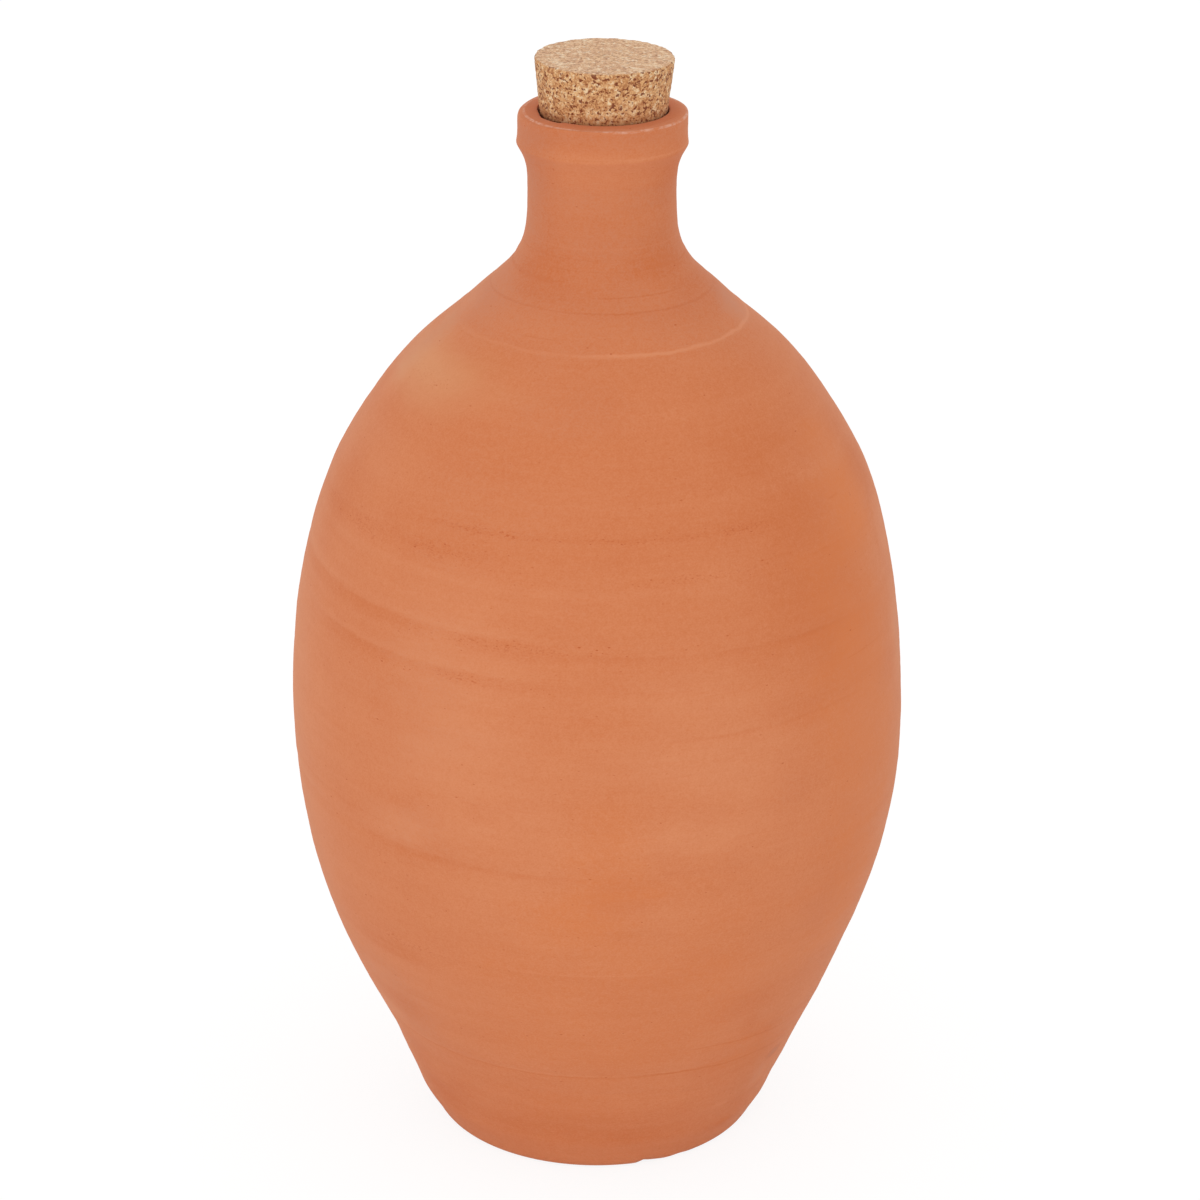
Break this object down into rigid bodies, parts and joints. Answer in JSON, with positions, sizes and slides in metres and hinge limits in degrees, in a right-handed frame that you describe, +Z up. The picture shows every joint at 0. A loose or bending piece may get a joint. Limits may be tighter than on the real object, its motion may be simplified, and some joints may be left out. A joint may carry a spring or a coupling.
{
  "type": "water jar",
  "caption": "Hand-thrown unglazed terracotta jar with an egg-shaped body, narrow collared neck and a tapered cork stopper.",
  "frame": {"origin": "middle of the foot's flat underside, on the surface that the jar stands on", "axes": "+Z up along the jar's axis, through the neck and the cork; the jar is round, so +X and +Y are any two level directions"},
  "size_m": [0.1738, 0.1738, 0.315],
  "materials": {
    "terracotta": "matte",
    "cork": "matte"
  },
  "bodies": {
    "jar": {"jar": "terracotta"},
    "stopper": {"cork_stopper": "cork"}
  },
  "joints": [
    {"name": "stopper_pull", "type": "slide", "parent": "jar", "child": "stopper", "axis": [0, 0, 1], "range_m": [0, 0.06]}
  ]
}
